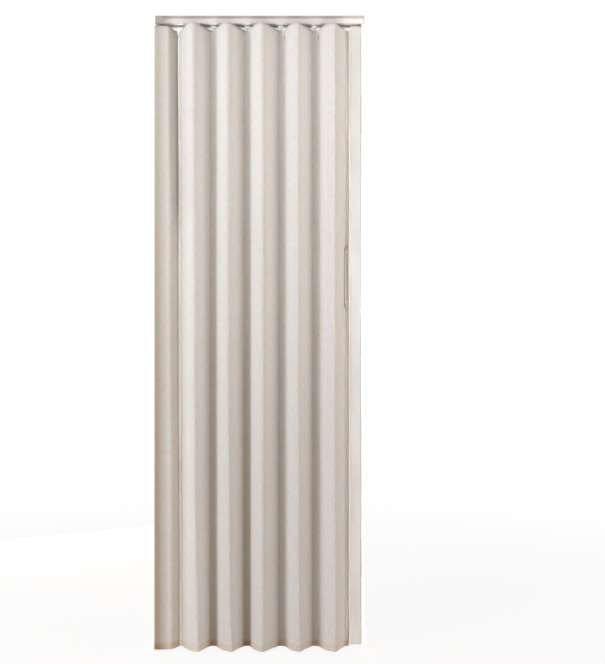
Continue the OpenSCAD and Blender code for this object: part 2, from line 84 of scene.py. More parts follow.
cameraData = bpy.data.cameras.new("photoCamera")
cameraData.lens = view["lens"]
cameraData.sensor_width = 36.0
cameraData.shift_x = view["shiftX"]
cameraData.shift_y = view["shiftY"]
camera = bpy.data.objects.new("photoCamera", cameraData)
camera.location = view["place"]
camera.rotation_euler = (math.radians(90), 0, 0)
bpy.context.scene.collection.objects.link(camera)
bpy.context.scene.camera = camera
bpy.context.scene.view_settings.view_transform = "Standard"


def freshTree(owner):
    # an empty node tree for a material or a world
    owner.use_nodes = True
    owner.node_tree.nodes.clear()
    return owner.node_tree


def addNode(tree, kind, inputs=None, links=None, **settings):
    # adds one node with its settings, its fixed inputs and its incoming links
    node = tree.nodes.new(kind)
    for name, value in settings.items():
        setattr(node, name, value)
    for key, value in (inputs or {}).items():
        node.inputs[key].default_value = value
    for key, socket in (links or {}).items():
        tree.links.new(socket, node.inputs[key])
    return node


def maths(tree, operation, *values):
    # one Math node, whose values are numbers or sockets
    node = addNode(tree, "ShaderNodeMath", operation=operation)
    for k, value in enumerate(values):
        if isinstance(value, (int, float)):
            node.inputs[k].default_value = value
        else:
            tree.links.new(value, node.inputs[k])
    return node.outputs[0]


def splitUp(tree, vector):
    # the parts X, Y and Z of a vector
    return addNode(tree, "ShaderNodeSeparateXYZ", links={"Vector": vector}).outputs


def objectPlace(tree):
    return addNode(tree, "ShaderNodeTexCoord").outputs["Object"]


def newFinish(name, roughness, metallic=0.0, **fixed):
    # a material with its shader, whose constants are set on the shader's own sockets
    material = bpy.data.materials.new(name)
    tree = freshTree(material)
    shader = addNode(tree, "ShaderNodeBsdfPrincipled",
                     inputs={"Roughness": roughness, "Metallic": metallic, **fixed})
    addNode(tree, "ShaderNodeOutputMaterial", links={"Surface": shader.outputs["BSDF"]})
    return material, tree, shader


def stretchedNoise(tree, place, size, detail=2.0, roughness=0.5):
    # noise whose grains are size[0] by size[1] by size[2] metres along the coordinate's axes
    scaled = addNode(tree, "ShaderNodeMapping", inputs={"Scale": [1 / s for s in size]},
                     links={"Vector": place})
    return addNode(tree, "ShaderNodeTexNoise",
                   inputs={"Scale": 1.0, "Detail": detail, "Roughness": roughness},
                   links={"Vector": scaled.outputs["Vector"]}).outputs["Fac"]


def remap(tree, value, low, high, lowOut, highOut):
    # a value from low to high becomes lowOut to highOut, and stays inside them
    return addNode(tree, "ShaderNodeMapRange",
                   inputs={"From Min": low, "From Max": high, "To Min": lowOut, "To Max": highOut},
                   links={"Value": value}).outputs["Result"]


def fullRange(tree, noise):
    # most of a noise lies between 0.35 and 0.65, which becomes 0 to 1
    return remap(tree, noise, 0.35, 0.65, 0, 1)


def mixColours(tree, amount, first, second, blend="MIX"):
    # amount is a number or a socket; first and second are hex texts or sockets
    node = addNode(tree, "ShaderNodeMix", data_type="RGBA", blend_type=blend, clamp_factor=True)
    for key, value in ((0, amount), (6, first), (7, second)):
        if isinstance(value, str):
            node.inputs[key].default_value = hexColour(value)
        elif isinstance(value, (int, float)):
            node.inputs[key].default_value = value
        else:
            tree.links.new(value, node.inputs[key])
    return node.outputs[2]


def shadeBy(tree, colour, factor):
    # multiplies a colour by a grey factor
    grey = addNode(tree, "ShaderNodeCombineColor",
                   links={"Red": factor, "Green": factor, "Blue": factor})
    return mixColours(tree, 1.0, colour, grey.outputs["Color"], "MULTIPLY")


def bumpFrom(tree, shader, height, distance, strength):
    bump = addNode(tree, "ShaderNodeBump", inputs={"Strength": strength, "Distance": distance},
                   links={"Height": height})
    tree.links.new(bump.outputs["Normal"], shader.inputs["Normal"])


# cloth: ivory slubbed weave bonded to a thin vinyl backing, with a turned hem along the bottom;
# the sizes of clouds, patches and tints are across by along the door's height, in metres
clothLook = {
    "warmIvory": "E7E1D9", "coolIvory": "E4E3E1", "pinkIvory": "E7DFDC", "greenIvory": "E1E1D7",
    "paintedShadeColour": "C9BCA9", "hemTone": "FFF7EE", "hemPaintedShade": "F5DDC2", "binding": "FFFBF1",
    "stitch": "D6CCC0", "tintShare": 0.75,
    "cloudSize": (0.05, 0.11, 1), "patchSize": (0.009, 0.016, 1), "tintSize": (0.021, 0.034, 1),
    "threadPitch": 1.3 * mm, "slubLong": 26 * mm, "slubWide": 2.6 * mm, "streakRange": (0.72, 1.28),
    "hemSoft": 0.6 * mm, "stitchPitch": 4.2 * mm, "stitchTall": 0.9 * mm, "stitchDrop": 3 * mm,
}


def slubbedCloth(look):
    material, tree, shader = newFinish("slubbedIvoryCloth", 0.78, **{
        "Sheen Weight": 0.08, "Sheen Roughness": 0.45, "Specular IOR Level": 0.28})
    place = addNode(tree, "ShaderNodeUVMap", uv_map="clothUV").outputs["UV"]
    spot = splitUp(tree, place)
    # the dye takes a little unevenly: broad clouds, small patches and a pink or green tint
    clouds = stretchedNoise(tree, place, look["cloudSize"], 3.0)
    patches = stretchedNoise(tree, place, look["patchSize"], 2.0)
    tints = stretchedNoise(tree, place, look["tintSize"], 1.0)
    base = mixColours(tree, fullRange(tree, clouds), look["warmIvory"], look["coolIvory"])
    for end, tint in ((0.72, "pinkIvory"), (0.30, "greenIvory")):
        tinted = remap(tree, tints, 0.50, end, 0, look["tintShare"])
        base = mixColours(tree, tinted, base, look[tint])
    # thick places in the yarn run up the warp and along the weft as soft streaks
    warpSlubs = stretchedNoise(tree, place, (look["slubWide"], look["slubLong"], 1), 2.0, 0.6)
    weftSlubs = stretchedNoise(tree, place, (look["slubLong"] * 0.8, look["slubWide"], 1), 2.0, 0.6)
    streaks = maths(tree, "ADD", warpSlubs, weftSlubs)
    base = shadeBy(tree, base, remap(tree, streaks, *look["streakRange"], 0.945, 1.03))
    base = shadeBy(tree, base, remap(tree, patches, 0.3, 0.7, 0.965, 1.02))
    # painted shade: where the mesh attribute says, the colour is darkened in the creases, the valleys and over the
    # wall covers
    crease = addNode(tree, "ShaderNodeAttribute", attribute_name="shadeAndTapeMark").outputs["Fac"]
    base = mixColours(tree, crease, base, look["paintedShadeColour"], "MULTIPLY")
    # painted shade: the doubled hem is painted a shade warmer, as if it let less light through, and warmer and
    # darker still where the valleys' painted shade lies
    hemTall, soft = sheetCut["hemTall"], look["hemSoft"]
    hem = remap(tree, spot["Y"], hemTall + soft, hemTall - soft, 0, 0.8)
    base = mixColours(tree, hem, base, look["hemTone"], "MULTIPLY")
    hemInPaintedShade = remap(tree, maths(tree, "MULTIPLY", hem, crease), 0, 0.7, 0, 1)
    base = mixColours(tree, hemInPaintedShade, base, look["hemPaintedShade"], "MULTIPLY")
    # below zero the same value marks the cream tape that binds the sheet's cut edge
    base = mixColours(tree, remap(tree, crease, -0.2, -0.8, 0, 1), base, look["binding"])
    # lockstitch along the top of the hem: dashes with a short gap, sunk into the cloth
    wave = maths(tree, "MULTIPLY", spot["X"], 2 * math.pi / look["stitchPitch"])
    dash = remap(tree, maths(tree, "SINE", wave), -0.75, -0.45, 0, 1)
    fromSeam = maths(tree, "SUBTRACT", spot["Y"], hemTall - look["stitchDrop"])
    fromSeam = maths(tree, "ABSOLUTE", fromSeam)
    line = remap(tree, fromSeam, look["stitchTall"], look["stitchTall"] * 0.4, 0, 1)
    stitch = maths(tree, "MULTIPLY", dash, line)
    base = mixColours(tree, stitch, base, look["stitch"])
    tree.links.new(base, shader.inputs["Base Color"])
    # plain weave: warp and weft threads cross at one pitch; a wave of period p metres needs the
    # scale pi / (10 p). The slubs stand proud of it, and the stitches are sunk into it.
    threads = [addNode(tree, "ShaderNodeTexWave", wave_type="BANDS", bands_direction=direction,
                       inputs={"Scale": math.pi / (10 * look["threadPitch"]), "Distortion": 0.6,
                               "Detail": 1.0, "Detail Scale": 0.4},
                       links={"Vector": place}).outputs["Fac"] for direction in ("X", "Y")]
    height = maths(tree, "MULTIPLY_ADD", maths(tree, "MULTIPLY", *threads), 0.45, streaks)
    height = maths(tree, "MULTIPLY_ADD", stitch, -1.2, height)
    bumpFrom(tree, shader, height, 0.22 * mm, 0.55)
    rough = remap(tree, streaks, *look["streakRange"], 0.84, 0.70)
    tree.links.new(rough, shader.inputs["Roughness"])
    return material


# aluminium rail and post: satin polyester powder coat over an extrusion
railLook = {"face": "E8E2DE", "cloud": "E2DCD8", "lip": "B4ABA3", "lipCloud": "BDB3AA",
            "low": "DFD9D4", "under": "FAF8F4", "inside": "FCFBF8", "endShade": "DDD6CE",
            "lipHeight": 8.4 * mm, "lowHeight": 22.4 * mm, "endStart": -272 * mm,
            "endFull": -308 * mm, "insideHalf": 16.9 * mm, "roof": -1.1 * mm}
postLook = {"face": "E3E0DC", "shade": "DDDAD5"}

# handle: moulded plastic; its finger groove is coloured darker as painted shade, and both ends are darker
handleLook = {"face": "E4DCD2", "second": "DBD2C8", "grooveShade": "C6BCB1", "endShade": "DCD8D3",
              "grooveLeft": valleys[pleats] - 7.1 * mm, "groovePlane": 19.5 * mm,
              "middle": -825.5 * mm, "endStart": 82 * mm, "edge": 0.3 * mm}


def powderCoat(name, colour, second, roughness):
    # satin coat: faint clouding from spraying, orange peel of 1.5 mm, and specks that dull it
    material, tree, shader = newFinish(name, roughness, **{"Specular IOR Level": 0.42})
    place = objectPlace(tree)
    clouds = stretchedNoise(tree, place, (0.05, 0.05, 0.16), 3.0)
    specks = stretchedNoise(tree, place, (0.9 * mm, 0.9 * mm, 0.9 * mm), 1.0)
    base = mixColours(tree, fullRange(tree, clouds), colour, second)
    base = shadeBy(tree, base, remap(tree, specks, 0.3, 0.7, 0.985, 1.012))
    tree.links.new(base, shader.inputs["Base Color"])
    peel = stretchedNoise(tree, place, (1.5 * mm, 1.5 * mm, 1.5 * mm), 1.5)
    bumpFrom(tree, shader, peel, 0.05 * mm, 0.6)
    tree.links.new(remap(tree, specks, 0.3, 0.7, roughness - 0.05, roughness + 0.08),
                   shader.inputs["Roughness"])
    return material, tree, shader, base, place


def railCoat(look):
    material, tree, shader, base, place = powderCoat("satinRailCoat", look["face"],
                                                     look["cloud"], 0.42)
    spot = splitUp(tree, place)
    # the flared lip is coloured a darker taupe, and a band along the bottom edge is a little darker
    lip = remap(tree, spot["Z"], -look["lipHeight"] - 0.3 * mm, -look["lipHeight"] + 0.3 * mm, 0, 1)
    taupe = mixColours(tree, stretchedNoise(tree, place, (0.07, 0.02, 0.01), 2.0),
                       look["lip"], look["lipCloud"])
    base = mixColours(tree, lip, base, taupe)
    low = remap(tree, spot["Z"], -look["lowHeight"] + 0.5 * mm, -look["lowHeight"] - 0.5 * mm,
                0, 0.9)
    base = mixColours(tree, low, base, look["low"])
    # painted shade: the rail is darkened towards the wall end
    end = remap(tree, spot["X"], look["endStart"], look["endFull"], 0, 1)
    base = mixColours(tree, end, base, look["endShade"], "MULTIPLY")
    # painted light: faces turned downwards are painted near white, as if lit from below
    normal = addNode(tree, "ShaderNodeTexCoord").outputs["Normal"]
    paintedLightBelow = remap(tree, splitUp(tree, normal)["Z"], -0.75, -0.95, 0, 1)
    base = mixColours(tree, paintedLightBelow, base, look["under"])
    # and the channel's inside, up to its roof, is painted white, as painted light in its shadow
    inChannel = remap(tree, maths(tree, "ABSOLUTE", spot["Y"]),
                      look["insideHalf"] + 0.3 * mm, look["insideHalf"], 0, 1)
    belowRoof = remap(tree, spot["Z"], look["roof"] + 0.2 * mm, look["roof"] - 0.2 * mm, 0, 1)
    base = mixColours(tree, maths(tree, "MULTIPLY", inChannel, belowRoof), base, look["inside"])
    tree.links.new(base, shader.inputs["Base Color"])
    return material


def postCoat(look):
    return powderCoat("satinPostCoat", look["face"], look["shade"], 0.40)[0]


def mouldedPlastic(name, colour, second, grain, roughness):
    # spark-eroded mould texture: pits of the grain's size, slight mottling, shine where rubbed
    material, tree, shader = newFinish(name, roughness, **{"Specular IOR Level": 0.45})
    place = objectPlace(tree)
    mottle = stretchedNoise(tree, place, (0.02, 0.02, 0.03), 3.0)
    base = mixColours(tree, fullRange(tree, mottle), colour, second)
    tree.links.new(base, shader.inputs["Base Color"])
    pits = stretchedNoise(tree, place, (grain, grain, grain), 2.0, 0.6)
    bumpFrom(tree, shader, pits, grain * 0.09, 0.7)
    rubbed = stretchedNoise(tree, place, (0.03, 0.03, 0.05), 2.0)
    tree.links.new(remap(tree, rubbed, 0.35, 0.65, roughness - 0.07, roughness + 0.07),
                   shader.inputs["Roughness"])
    return material, tree, shader, base, place


def shadedGrooveHandle(look):
    material, tree, shader, base, place = mouldedPlastic("mouldedHandlePlastic", look["face"],
                                                         look["second"], 0.7 * mm, 0.46)
    spot = splitUp(tree, place)
    # painted shade: the finger groove, all that lies deeper than the front round, is coloured darker
    deep = remap(tree, maths(tree, "ABSOLUTE", spot["Y"]),
                 look["groovePlane"] + look["edge"], look["groovePlane"] - look["edge"], 0, 1)
    beside = remap(tree, spot["X"], look["grooveLeft"] - look["edge"], look["grooveLeft"], 0, 1)
    grooveShade = maths(tree, "MULTIPLY", deep, beside)
    # both ends, where the screws sit, are darker
    fromMiddle = maths(tree, "ABSOLUTE", maths(tree, "SUBTRACT", spot["Z"], look["middle"]))
    end = remap(tree, fromMiddle, look["endStart"] - mm, look["endStart"] + mm, 0, 1)
    base = mixColours(tree, end, base, look["endShade"], "MULTIPLY")
    tree.links.new(mixColours(tree, grooveShade, base, look["grooveShade"]), shader.inputs["Base Color"])
    return material


def extrudedPlastic(name, colour, second, roughness):
    # a die leaves fine lines along the length, here 0.8 mm apart and drawn up the Z axis
    material, tree, shader = newFinish(name, roughness, **{
        "Specular IOR Level": 0.9, "Coat Weight": 0.8, "Coat Roughness": 0.12})
    place = objectPlace(tree)
    clouds = stretchedNoise(tree, place, (0.02, 0.02, 0.30), 2.0)
    base = mixColours(tree, fullRange(tree, clouds), colour, second)
    tree.links.new(base, shader.inputs["Base Color"])
    lines = stretchedNoise(tree, place, (0.8 * mm, 0.8 * mm, 0.25), 1.0)
    bumpFrom(tree, shader, lines, 0.05 * mm, 0.5)
    return material


def anodisedAluminium():
    # natural anodised extrusion: long draw lines and a soft, slightly warm sheen
    material, tree, shader = newFinish("anodisedAluminium", 0.38, 1.0)
    place = objectPlace(tree)
    lines = stretchedNoise(tree, place, (0.5 * mm, 0.5 * mm, 0.20), 2.0)
    clouds = stretchedNoise(tree, place, (0.03, 0.03, 0.20), 2.0)
    base = mixColours(tree, remap(tree, clouds, 0.3, 0.7, 0, 1), "C9C9C6", "D6D5D0")
    base = shadeBy(tree, base, remap(tree, lines, 0.3, 0.7, 0.94, 1.04))
    tree.links.new(base, shader.inputs["Base Color"])
    tree.links.new(remap(tree, lines, 0.3, 0.7, 0.30, 0.46), shader.inputs["Roughness"])
    bumpFrom(tree, shader, lines, 0.03 * mm, 0.5)
    return material


def zincPlate():
    # bright zinc on rolled strip: bluish and straw clouds of passivation over a fine rolling grain
    material, tree, shader = newFinish("zincPlatedSteel", 0.33, 1.0)
    place = objectPlace(tree)
    clouds = stretchedNoise(tree, place, (0.012, 0.012, 0.012), 3.0)
    grain = stretchedNoise(tree, place, (0.010, 0.010, 0.4 * mm), 2.0)
    base = mixColours(tree, fullRange(tree, clouds), "BFC3C8", "CDC9BC")
    tree.links.new(base, shader.inputs["Base Color"])
    tree.links.new(remap(tree, clouds, 0.3, 0.7, 0.26, 0.42), shader.inputs["Roughness"])
    bumpFrom(tree, shader, grain, 0.02 * mm, 0.5)
    return material


def mouldedNylon(name, colour, second, roughness):
    # moulded nylon: waxy surface with faint flow marks and light scattering under the skin
    material, tree, shader = newFinish(name, roughness, **{
        "Specular IOR Level": 0.5, "Subsurface Weight": 0.06, "Subsurface Scale": 1.5 * mm})
    place = objectPlace(tree)
    flow = stretchedNoise(tree, place, (3 * mm, 3 * mm, 9 * mm), 3.0)
    base = mixColours(tree, fullRange(tree, flow), colour, second)
    tree.links.new(base, shader.inputs["Base Color"])
    bumpFrom(tree, shader, flow, 0.06 * mm, 0.4)
    return material


def magnetStrip():
    # ferrite powder in rubber: dark grey, matt, with pale specks and a knife-cut grain
    material, tree, shader = newFinish("magnetRubber", 0.72)
    place = objectPlace(tree)
    specks = stretchedNoise(tree, place, (0.7 * mm, 0.7 * mm, 0.7 * mm), 1.0)
    base = mixColours(tree, remap(tree, specks, 0.45, 0.75, 0, 1), "302D2B", "4A4643")
    tree.links.new(base, shader.inputs["Base Color"])
    cuts = stretchedNoise(tree, place, (0.4 * mm, 0.4 * mm, 30 * mm), 1.0)
    bumpFrom(tree, shader, cuts, 0.04 * mm, 0.5)
    return material


finishes = {
    "rail_coat": railCoat(railLook),
    "cap_plastic": mouldedPlastic("mouldedCapPlastic", "BDB4AA", "B3A9A0", 0.6 * mm, 0.55)[0],
    "mill_aluminium": anodisedAluminium(),
    "sheet_cloth": slubbedCloth(clothLook),
    "plated_steel": zincPlate(),
    "strip_plastic": extrudedPlastic("creamStripPlastic", "FFFCF4", "FDF9F0", 0.22),
    "trolley_nylon": mouldedNylon("whiteTrolleyNylon", "F3F1EB", "ECE9E1", 0.42),
    "wheel_nylon": mouldedNylon("greyWheelNylon", "46423F", "3B3836", 0.40),
    "post_coat": postCoat(postLook),
    "handle_plastic": shadedGrooveHandle(handleLook),
    "magnet_rubber": magnetStrip(),
}
slotOf = {part["node"]: part["material_slot"] for part in frame["record"]["subparts"]}
for name, node in frame["nodes"].items():
    node.data.materials.clear()
    node.data.materials.append(finishes[slotOf[name]])
print("finishes made,", len(finishes))

# the rows of every sheet, closer together in the hem, with one at each end of the handle's gap
hemTop = sheetCut["bottom"] + sheetCut["hemTall"]
rowHeights = np.concatenate([
    np.linspace(sheetCut["top"], hemTop, sheetCut["rows"], endpoint=False),
    np.linspace(hemTop, sheetCut["bottom"], sheetCut["hemRows"])])
for edge in (handleNotch["top"], handleNotch["bottom"]):
    rowHeights[np.abs(rowHeights - edge).argmin()] = edge
heightShare = (rowHeights - sheetCut["bottom"]) / (sheetCut["top"] - sheetCut["bottom"])


def shellMesh(name, middle, outward, reach, tone, keep=None, flip=False):
    # A sheet of cloth with real thickness: each grid point moves out and in along its outward
    # direction by half the thickness, more in the hem, and the two layers are joined by a rim
    # wherever a kept cell has no kept neighbour. Grids are rows by columns.
    rows, columns = middle.shape[:2]
    if keep is None:
        keep = np.ones((rows - 1, columns - 1), bool)
    hem = np.clip((hemTop - middle[..., 2]) / sheetCut["hemStep"], 0, 1)
    half = (sheetCut["thick"] / 2 + sheetCut["hemExtra"] * hem)[..., None]
    points = np.concatenate([(middle + outward * half).reshape(-1, 3),
                             (middle - outward * half).reshape(-1, 3)])
    index = np.arange(rows * columns).reshape(rows, columns)
    corners = np.stack([index[1:, :-1], index[1:, 1:], index[:-1, 1:], index[:-1, :-1]], axis=-1)
    if flip:
        corners = corners[..., ::-1]
    outer = corners[keep]
    inner = outer[:, ::-1] + rows * columns
    padded = np.zeros((rows + 1, columns + 1), bool)
    padded[1:-1, 1:-1] = keep
    below, right = padded[2:, 1:-1], padded[1:-1, 2:]
    above, left = padded[:-2, 1:-1], padded[1:-1, :-2]
    rims = []
    sides = (above, right, below, left) if flip else (below, right, above, left)
    for k, neighbour in enumerate(sides):
        bare = corners[keep & ~neighbour]
        a, b = bare[:, k], bare[:, (k + 1) % 4]
        rims.append(np.stack([b, a, a + rows * columns, b + rows * columns], axis=-1))
    faces = np.concatenate([outer, inner] + rims)
    used, faces = np.unique(faces, return_inverse=True)
    faces = faces.reshape(-1, 4)
    mesh = bpy.data.meshes.new(name)
    mesh.from_pydata(points[used].tolist(), [], faces.tolist())
    smooth = np.zeros(len(faces), bool)
    smooth[:2 * len(outer)] = True
    mesh.polygons.foreach_set("use_smooth", smooth)
    # across the cloth by its length along the plan, and up from its bottom edge
    fromBottom = rowHeights - sheetCut["bottom"]
    clothUv = np.stack(np.broadcast_arrays(reach[None, :], fromBottom[:, None]), axis=-1)
    uvPoints = np.concatenate([clothUv.reshape(-1, 2)] * 2)[used]
    layer = mesh.uv_layers.new(name="clothUV")
    layer.data.foreach_set("uv", uvPoints[faces.ravel()].astype(np.float32).ravel())
    tone = np.broadcast_to(tone, (rows, columns)).ravel()
    attribute = mesh.attributes.new("shadeAndTapeMark", "FLOAT", "POINT")
    attribute.data.foreach_set("value", np.concatenate([tone] * 2)[used].astype(np.float32))
    mesh.update()
    mesh.materials.append(finishes["sheet_cloth"])
    piece = bpy.data.objects.new(name, mesh)
    bpy.context.scene.collection.objects.link(piece)
    return piece


def splineWeights(count, samples):
    # uniform cubic B-spline: a sample between knots k and k + 1 weighs the points k - 1 to k + 2
    knot = np.clip(np.floor(samples).astype(int), 1, count - 3)
    f = samples - knot
    weights = np.zeros((len(samples), count))
    line = np.arange(len(samples))
    weights[line, knot - 1] = (1 - f) ** 3 / 6
    weights[line, knot] = (3 * f ** 3 - 6 * f ** 2 + 4) / 6
    weights[line, knot + 1] = (-3 * f ** 3 + 3 * f ** 2 + 3 * f + 1) / 6
    weights[line, knot + 2] = f ** 3 / 6
    return weights


def runLength(line):
    # how far along a line each of its points lies
    return np.concatenate([[0], np.cumsum(np.linalg.norm(np.diff(line, axis=0), axis=1))])


def standUp(flat):
    # a plan, one for all rows or one for each, becomes points at the rows' heights
    flat = np.broadcast_to(flat, (len(rowHeights),) + flat.shape[-2:])
    heights = np.broadcast_to(rowHeights[:, None, None], flat.shape[:2] + (1,))
    return np.concatenate([flat, heights], axis=-1)


def outwardOf(middle, flip):
    # the cross product of the steps along a row and down a column, turned to the outside
    normal = np.cross(np.gradient(middle, axis=1), np.gradient(middle, axis=0))
    normal /= np.linalg.norm(normal, axis=-1, keepdims=True)
    return -normal if flip else normal


def pushOut(middle, amount, flip):
    # the sheet moved outward by an amount per point, and its outward directions after that
    middle = middle + outwardOf(middle, flip) * amount[..., None]
    return middle, outwardOf(middle, flip)


def clothWaves(reach, seed, tall=(0.10, 0.55), wide=(0.035, 0.12), waves=12):
    # slack of hung cloth: sine waves of random length and phase, added and scaled to 0..1
    random = np.random.default_rng(seed)
    total = np.zeros((len(rowHeights), len(reach)))
    for k in range(waves):
        waveTall, waveWide = random.uniform(*tall), random.uniform(*wide)
        phase = random.uniform(0, 2 * math.pi, 2)
        total += np.sin(rowHeights[:, None] * 2 * math.pi / waveTall + phase[0]
                        + 0.8 * np.sin(reach[None, :] * 2 * math.pi / waveWide + phase[1]))
    return 0.5 + 0.5 * np.clip(total / 7, -1, 1)


def between(place, start, end, fade):
    # 1 from start to end and 0 outside, with a fade inside both ends
    return np.clip(np.minimum(place - start, end - place) / fade, 0, 1)


def bell(place, centre, width, power=2):
    return np.exp(-((place - centre) / width) ** power)


def awayFromHandle(middle):
    # the cloth's cells that stay: it is cut away behind the handle, as far as the handle sweeps
    centre = (middle[:-1, :-1] + middle[1:, 1:]) / 2
    beside = np.hypot(centre[..., 0] - valleys[pleats], centre[..., 1]) < handleNotch["reach"]
    level = (centre[..., 2] < handleNotch["top"]) & (centre[..., 2] > handleNotch["bottom"])
    return ~(beside & level)


def turnAtValley(piece):
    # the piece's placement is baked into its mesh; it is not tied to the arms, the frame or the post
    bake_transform(piece)


# Front sheet: each plan lists a pleat's control points, mm along the rail from its left
# valley and mm of depth. The left face bellies out and the right face lies along its strap;
# the crease leans, so a pleat's plan changes down the door between leaning left and right.
frontPleat = {
    "leanLeft": [(0, -11.4), (6.2, -11.4), (8.0, -11.7), (9.4, -14.0), (12.8, -24.5), (18, -38.5),
                 (24.5, -53), (33.5, -62.6), (43.4, -71.2), (50.5, -68.4), (57.6, -64.9),
                 (62.6, -56.5), (70.5, -45), (80, -33.4), (90, -21.3), (96.6, -14.0),
                 (98.7, -11.7), (100.5, -11.4)],
    "straight": [(0, -11.4), (6.2, -11.4), (8.0, -11.7), (9.6, -14.0), (13.8, -24.5), (20, -39.5),
                 (27.5, -54), (39.5, -62.6), (52.6, -71.2), (56.8, -66.3), (60.6, -60.2),
                 (66.5, -51.4), (74, -42.3), (83, -31.0), (91.5, -20.3), (96.6, -14.0),
                 (98.7, -11.7), (100.5, -11.4)],
    "leanRight": [(0, -11.4), (6.2, -11.4), (8.0, -11.7), (9.8, -14.0), (15.0, -24.5),
                  (22.2, -39.5), (31, -54.5), (44.5, -63), (59.0, -71.2), (63.0, -64.8),
                  (67.6, -56.8), (73.2, -47.2), (79.5, -38.2), (86.0, -28.9), (92.2, -20.6),
                  (96.6, -14.2), (98.7, -11.7), (100.5, -11.4)],
    # what goes before the first pleat and after the last one
    "firstEdge": [(-6.2, -11.4)], "lastEdge": [(0, -11.4), (6.2, -11.4), (8.0, -11.4)],
    # how far each crease leans from its pivot, mm: top, middle and bottom of the door
    "lean": [(-9, -4, 6), (-9, -6.5, 3.5), (-9, -5, -6), (-2, -1, 2), (6, 5.5, 7)],
    "fullLean": (-9.2, 6.4), "mostLean": (1.1, 2.0),
    # near its hem each crease flares further, mm, within so many metres of the bottom edge
    "flare": (5.5, 5, 0, 3, 3), "flareTall": 0.13,
    # how far each pleat's left and right foot stand right of the plans above, mm
    "leftFoot": [0, 0, 0, 3.6, 3.6], "rightFoot": [0, 0, 2.2, 2.2, 0],
    # the control points that move for it, and by what share
    "leftPoints": (3, 6), "leftShares": (1, 1, 0.6),
    "rightPoints": (13, 16), "rightShares": (0.4, 1, 0.7),
    # how much painted shade each valley gets, at the bottom and at the top of the door
    "paintedShade": [(0.1, 0.0), (0.70, 0.10), (0.86, 0.0), (0.58, 0.0), (0.44, 0.0), (0.42, 0.0)],
    # how far the painted shade reaches in each valley, in control points: its end and fade on the right
    # side and its start on the left, then the strength of the painted grey shade line at the fold there
    "paintedShadeEdges": [(4.2, 1.4, 13.8, 0.42), (4.2, 1.4, 13.8, 0.42), (4.2, 1.4, 13.8, 0.42),
                  (5.2, 2.2, 15.0, 0.15), (5.8, 3.0, 15.0, 0.10), (4.2, 1.4, 13.8, 0.42)],
    "paintedShadeFade": 1.6, "foldLine": (15.7, 0.45),
    # start, end and fade of the two faces that hang slack, in control points
    "slackFaces": [(3.5, 8, 1.5), (9, 15.5, 2)],
    # samples as (from, to, steps) in control points: finer where the cloth turns, with narrow
    # steps beside each cut
    "spans": [(0, 4, 12), (4, 6.5, 6), (6.5, 6.56, 2), (6.56, 6.8, 1), (6.8, 7, 1), (7, 11, 16),
              (11, 12.5, 4), (12.5, 12.56, 2), (12.56, 12.8, 1), (12.8, 14, 3), (14, 18, 11)],
    "cuts": (6.53, 12.53),
    # the sheet starts beside the first cream strip and ends at the post's bead
    "start": 1.11, "endSteps": (0, 0.07, 0.14),
    # the binding tape's width at the hem and the depth of slack and wobble, mm
    "tape": 6.0, "slack": 0.9, "wobble": 0.7,
}
perPleat = len(frontPleat["straight"])


def pleatLean(plan, i, phase):
    # how far crease i leans in each row: the parabola through three values, flare and wobble
    top, middle, bottom = plan["lean"][i]
    h = heightShare
    lean = bottom * (1 - h) * (1 - 2 * h) + middle * 4 * h * (1 - h) + top * h * (2 * h - 1)
    lean = lean + plan["flare"][i] * np.exp(-(rowHeights - sheetCut["bottom"]) / plan["flareTall"])
    return lean + plan["wobble"] * (np.sin(rowHeights * 9.1 + phase[0])
                                    + 0.6 * np.sin(rowHeights * 23 + phase[1]))


def frontControl(plan):
    # control points of the whole sheet: rows by points by (x, y), in metres
    straight, left, right = (np.array(plan[name], float)
                             for name in ("straight", "leanLeft", "leanRight"))
    rows = len(rowHeights)
    parts = [np.tile(np.array(plan["firstEdge"]) * mm + np.array([valleys[0], 0]), (rows, 1, 1))]
    random = np.random.default_rng(31)
    for i in range(pleats):
        lean = pleatLean(plan, i, random.uniform(0, 6.28, 3))
        toLeft, toRight = (np.clip(lean / full, 0, most)[:, None, None]
                           for full, most in zip(plan["fullLean"], plan["mostLean"]))
        control = straight + toLeft * (left - straight) + toRight * (right - straight)
        for foot in ("left", "right"):
            moved = slice(*plan[foot + "Points"])
            control[:, moved, 0] += plan[foot + "Foot"][i] * np.array(plan[foot + "Shares"])
        parts.append(control * mm + np.array([valleys[i], 0]))
    parts.append(np.tile(np.array(plan["lastEdge"]) * mm + np.array([valleys[pleats], 0]),
                         (rows, 1, 1)))
    return np.concatenate(parts, axis=1)


